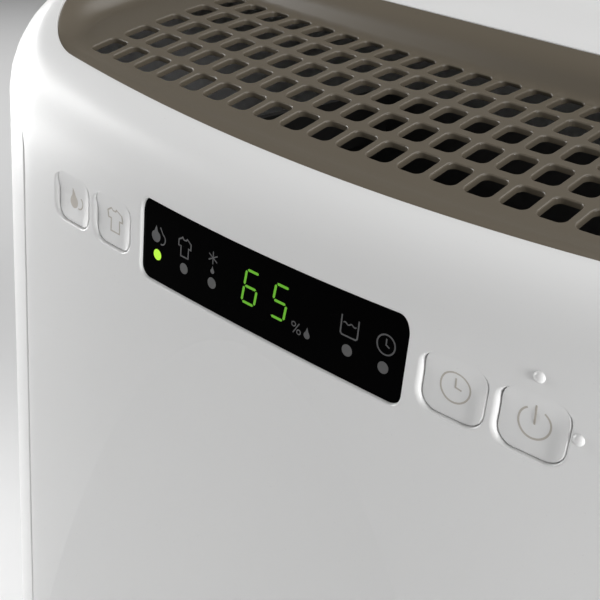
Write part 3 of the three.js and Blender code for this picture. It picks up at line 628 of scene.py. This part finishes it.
wave = [(tx - 2.6 + 5.2 * k / 12, tz + 1.1 + 0.35 * math.sin(k * math.pi / 3)) for k in range(13)]
icons.append(stroke(wave, 0.42))
icons += circle_mark(LED_X[4], ICON_Z, 3.4, 0.5)
icons.append(stroke([(LED_X[4], ICON_Z + 2.1), (LED_X[4], ICON_Z), (LED_X[4] + 1.4, ICON_Z - 0.7)], 0.45))
px, pz = 17.0, PANEL_Z - 5.2
icons += circle_mark(px - 1.2, pz + 1.1, 0.8, 0.36)
icons += circle_mark(px + 1.2, pz - 1.1, 0.8, 0.36)
icons.append(stroke([(px - 1.2, pz - 2.0), (px + 1.2, pz + 2.0)], 0.36))
icons.append((drop(px + 4.7, pz, 4.2, 0.30), None))
plates("display_icons", on_lens, icons, "cabinet", PRINT)

DIGIT_W, DIGIT_H, SEG, SLANT = 5.9, 12.2, 0.95, 0.13
SEGMENTS = {"a": ((0, 2), (1, 2)), "b": ((1, 2), (1, 1)), "c": ((1, 1), (1, 0)), "d": ((0, 0), (1, 0)),
            "e": ((0, 0), (0, 1)), "f": ((0, 1), (0, 2)), "g": ((0, 1), (1, 1))}


def segment(cx, key):
    (x0, z0), (x1, z1) = SEGMENTS[key]
    a = np.array([(x0 - 0.5) * DIGIT_W, (z0 / 2 - 0.5) * DIGIT_H])
    b = np.array([(x1 - 0.5) * DIGIT_W, (z1 / 2 - 0.5) * DIGIT_H])
    e = (b - a) / np.linalg.norm(b - a)
    n = np.array([e[1], -e[0]]) * SEG / 2
    a, b = a + e * 0.35, b - e * 0.35
    taper = e * SEG * 0.5
    pts = [a, a + taper + n, b - taper + n, b, b - taper - n, a + taper - n]
    return np.array([(cx + p[0] + p[1] * SLANT, PANEL_Z + 1.0 + p[1]) for p in pts]), None


digits = [segment(-4.6, k) for k in "acdefg"] + [segment(9.0, k) for k in "acdfg"]
plates("digits_lit", on_lens, digits, "cabinet", DIGIT)

# ---------------------------------------------------------------- tank front
soup = Soup()
slot_loop = rounded(0, 199, 110, 20, 8, steps=8)
tank_s = s_of_x(139.5)
tank_z = (CASING_BOTTOM + 0.7, ARCH_FOOT - 1.4)
tank_border = [(-tank_s, tank_z[0]), (tank_s, tank_z[0]), (tank_s, tank_z[1]), (-tank_s, tank_z[1])]
shell(soup, casing, densify(tank_border, 4.0), [front_loop(slot_loop)], thick=WALL, fillet=0.6, step=5.0)
for z in (61.5, 171.5):
    rib = np.array([(-112, -109.5), (112, -109.5), (112, -92.5), (-112, -92.5)], float)

    def flat(p, z=z):
        return np.stack([p[:, 0], p[:, 1], np.full(len(p), z + 1.5)], 1)

    shell(soup, flat, densify(rib, 20.0), thick=3.0, fillet=0.3, step=30.0)
dress(soup.build("tank_panel", "tank", ["tank_front"]), WHITE)

# ---------------------------------------------------------------- rear cover
REAR_MID = HALF_LOOP


def rear_loop(loop_xz):
    """Loop given as seen from the front; the rear runs the other way."""
    return np.stack([REAR_MID - loop_xz[:, 0], loop_xz[:, 1]], 1)[::-1]


s_side = S_CORNER + (SPLIT_Y + 0.3 - CORNER_Y) + 0.2
grip_s = S_CORNER + (45 - CORNER_Y)
rear_holes = [rear_loop(rounded(0, 375, 281, 251, 3.5, steps=4))]
rear_holes += [rounded(c, 450, 86.8, 36.8, 2.0, steps=3) for c in (grip_s, 2 * HALF_LOOP - grip_s)]
rear_holes += [ring(REAR_MID - 110, 222, 14.0, 36), ring(REAR_MID - 150, 90, 8.4, 28)]
rear_holes += [ring(REAR_MID - x, z, 3.9, 20) for x in (-172, 172) for z in (60, 530)]
s_far = 2 * HALF_LOOP - s_side
rear_border = densify([(s_side, CASING_BOTTOM), (s_far, CASING_BOTTOM), (s_far, TOP), (s_side, TOP)], 4.0)
soup = Soup()
shell(soup, casing, rear_border, rear_holes, thick=lip, fillet=0.5, step=6.0)
dress(soup.build("panel_rear", "cabinet", ["rear_cover"]), WHITE)

# ---------------------------------------------------------------- crown lid
CROWN_EDGE = ((0, 571), (1.5, 577), (5, 582), (11, 584.6), (18, 585.2), (40, 585.4))
CROWN_LINE = ((9.8, 567.6), (12, 568.2), (15, 569.4), (18, 571.0), (21, 573), (24, 575.5), (27, 578.2),
              (30, 580.7), (33, 582.4), (36.5, 583.8), (40, 584.5), (47, 585), (110, 585))


def plan_distance(x, y):
    """Distance inwards from the casing outline at the sides and rear."""
    side = HALF_W - np.abs(x)
    rear = HALF_D - y
    cx, cy = HALF_W - REAR_R - np.abs(x), HALF_D - REAR_R - y
    corner = REAR_R - np.hypot(cx, cy)
    return np.where((cx < 0) & (cy < 0), corner, np.minimum(side, rear))


def crown(p):
    x, y = p[:, 0], p[:, 1]
    d = plan_distance(x, y) - OPENING - 0.4
    edge = np.interp(d, [e[0] for e in CROWN_EDGE], [e[1] for e in CROWN_EDGE])
    line = np.interp(y, [c[0] for c in CROWN_LINE], [c[1] for c in CROWN_LINE])
    return np.stack([x, y, np.minimum(edge, line)], 1)


CROWN_X = HALF_W - OPENING - 0.7
corner_pts = []
for side in (1, -1):
    start = 0 if side > 0 else 90
    centre_x = side * (HALF_W - REAR_R)
    corner_pts.append(arc(centre_x, HALF_D - REAR_R, REAR_R - OPENING - 0.7, start, start + 90, 8))
crown_border = np.concatenate([[(-CROWN_X, 9.9), (CROWN_X, 9.9)], corner_pts[0], corner_pts[1]])
soup = Soup()
shell(soup, crown, densify(crown_border, 3.0), thick=2.4, fillet=0.4, step=3.0)
dress(soup.build("crown_lid", "cabinet", ["top_cover"]), WHITE)

# ---------------------------------------------------------------- outlet grille
FIRST_Y, FIRST_Z = -75.9, 538.5
PITCH_X, PITCH_Y = 13.29, 16.93
DISH = 1.74e-4
TRAY_FILLET = 13.0
PAN_SLOPE, PAN_BEND = 0.249, -0.001
run = np.linspace(-106, -3.5, 60)
profile = [(y, FIRST_Z + PAN_SLOPE * (y - FIRST_Y) + PAN_BEND * (y - FIRST_Y) ** 2) for y in run]
# Rear wall of the pan, rising to the front edge of the crown.
profile += [(-1.9, 551.35), (-0.6, 552.6), (0.4, 554.4), (1.2, 556.6), (1.9, 558.8), (2.8, 560.7),
            (4.2, 562.6), (6.2, 564.6), (9.5, 567.4)]
profile = np.array(profile)
along = np.concatenate([[0], np.cumsum(np.linalg.norm(np.diff(profile, axis=0), axis=1))])
fine = np.linspace(0, along[-1], 500)
line_y, line_z = np.interp(fine, along, profile[:, 0]), np.interp(fine, along, profile[:, 1])
kernel = np.ones(9) / 9
pad_y = np.concatenate([line_y[:4], line_y, line_y[-4:]])
pad_z = np.concatenate([line_z[:4], line_z, line_z[-4:]])
line_y, line_z = np.convolve(pad_y, kernel, "valid"), np.convolve(pad_z, kernel, "valid")


def front_inset(x, y):
    """Distance inwards from the casing outline at the front, corners and sides."""
    ax = np.abs(x)
    dx, dy = ax - CORNER_X, CORNER_Y - y
    corner = CORNER_R - np.hypot(dx, dy)
    front = FRONT_R - np.hypot(x, y - CENTRE_Y)
    on_corner = (dy > 0) & (np.arctan2(dx, np.maximum(dy, 1e-6)) > FRONT_ANGLE)
    return np.where(dy <= 0, HALF_W - ax, np.where(on_corner, corner, front))


def grille_surface(p):
    """Dished pan, curving up to meet the edge of the opening."""
    x, y = p[:, 0], np.interp(p[:, 1], fine, line_y)
    z = np.interp(p[:, 1], fine, line_z) + DISH * x * x * np.clip((CROWN_Y - y) / 13, 0, 1)
    near = np.clip(1 - (front_inset(x, y) - OPENING - 0.5) / TRAY_FILLET, 0, 1)
    gap = np.maximum(rim_height(y) - 1.5 - z, 0) * np.clip((CROWN_Y - y) / 6, 0, 1)
    return np.stack([x, y, z + gap * near ** 2.6], 1)


def along_of(y):
    return np.interp(y, line_y, fine)


s_rim = S_CORNER + CROWN_Y - CORNER_Y
rim_s = densify([(-s_rim, 0), (s_rim, 0)], 5.0, closed=False)[:, 0]
rx, ry = outline(rim_s, OPENING + 0.5)[:2]
edge_pts = np.stack([rx, along_of(np.minimum(ry, 9.3))], 1)
grille_border = np.concatenate([edge_pts, densify([edge_pts[-1], edge_pts[0]], 5.0, closed=False)[1:-1]])
grille_holes = []
for r in range(5):
    for c in range(21):
        a = float(along_of(FIRST_Y + r * PITCH_Y))
        grille_holes.append(rounded((c - 10) * PITCH_X, a, 9.9 + 1.4, 13.0 + 1.4, 3.2, steps=5, step=20))
soup = Soup()
shell(soup, grille_surface, grille_border, grille_holes, thick=2.4, fillet=0.7, step=4.0, bends=3)
dress(soup.build("grille_pan", "cabinet", ["outlet_grille"]), TAUPE)

# ---------------------------------------------------------------- carried-over CAD nodes
LOOKS = {
    "base_pan": (TAUPE, 0.8), "intake_grille": (TAUPE, 0.5), "filter_frame": (TAUPE, 0.5),
    "filter_mesh": (MESH, 0), "grip_left": (TAUPE, 0.8), "grip_right": (TAUPE, 0.8),
    "display_board": (BOARD, 0.1), "digit_display": (GREY, 0.4), "humidity_sensor": (WHITE, 0.4),
    "compressor": (ENAMEL, 0.6), "evaporator": (ALU, 0.2), "condenser": (ALU, 0.2),
    "suction_pipe": (COPPER, 0.3), "discharge_pipe": (COPPER, 0.3), "capillary_tube": (COPPER, 0.2),
    "fan_scroll": (DARK, 0.6), "fan_wheel": (DARK, 0.3), "fan_motor": (STEEL, 0.6),
    "motor_bracket": (STEEL, 0.4), "air_duct": (DARK, 0.5), "drip_tray": (GREY, 0.5),
    "run_capacitor": (ALU, 0.5), "power_board": (BOARD, 0.2), "tank_body": (CLEAR, 0.5),
    "tank_lid": (GREY, 0.4), "tank_float": (WHITE, 0.5), "tank_switch": (ENAMEL, 0.4),
    "drain_spout": (GREY, 0.4), "drain_cap": (TAUPE, 0.5), "cord_gland": (RUBBER, 0.5),
}
for name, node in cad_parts.items():
    if name.startswith("castor_fork"):
        look = (GREY, 0.5)
    elif name.startswith("castor_wheel") or name.startswith("compressor_foot"):
        look = (RUBBER, 0.5)
    elif name.startswith("screw"):
        look = (STEEL, 0.3)
    elif name in LOOKS:
        look = LOOKS[name]
    else:
        continue
    dress(node, look[0])
    if look[1]:
        bevel = node.modifiers.new("edge", "BEVEL")
        bevel.width = look[1] * MM
        bevel.segments = 2
        bevel.limit_method = "ANGLE"
        bevel.angle_limit = math.radians(40)
        bevel.harden_normals = True

# ---------------------------------------------------------------- stage and lights
stage_mat = material("stage_pale", (0.82, 0.82, 0.82), 0.8, speck=0.01)
floor_mesh = bpy.data.meshes.new("floor")
floor_mesh.from_pydata([(-6, -6, 0), (6, -6, 0), (6, 6, 0), (-6, 6, 0)], [], [(0, 1, 2, 3)])
floor = bpy.data.objects.new("floor", floor_mesh)
bpy.context.scene.collection.objects.link(floor)
dress(floor, stage_mat)

world = bpy.data.worlds.new("studio")
bpy.context.scene.world = world
world.use_nodes = True
world.node_tree.nodes["Background"].inputs["Color"].default_value = (0.9, 0.9, 0.9, 1)
world.node_tree.nodes["Background"].inputs["Strength"].default_value = 0.13
bpy.context.scene.view_settings.view_transform = "Standard"


def area(name, position, target, size, power, size_y=None):
    lamp = bpy.data.lights.new(name, "AREA")
    lamp.energy = power
    lamp.size = size
    if size_y:
        lamp.shape = "RECTANGLE"
        lamp.size_y = size_y
    obj = bpy.data.objects.new(name, lamp)
    obj.location = position
    obj.rotation_euler = (Vector(target) - Vector(position)).to_track_quat("-Z", "Y").to_euler()
    bpy.context.scene.collection.objects.link(obj)
    return obj


area("key_left", (-0.62, -0.20, 0.56), (-0.18, -0.06, 0.44), 0.4, 4.6, 0.5)
area("fill_right", (1.1, -0.27, 0.60), (0.1, -0.11, 0.49), 0.30, 9.8, 0.7)
area("top_back", (0.25, 0.25, 1.5), (0.0, -0.05, 0.55), 0.8, 6.0, 0.8)
area("front_left", (-1.3, -0.9, 0.8), (0.0, -0.1, 0.45), 1.1, 1.5, 1.1)
area("front_right", (0.55, -0.55, 0.98), (0.1, -0.1, 0.52), 0.4, 1.3, 0.4)
area("floor_back", (-1.5, 0.9, 0.52), (-1.5, 0.901, 0.0), 1.6, 6.5, 1.6)
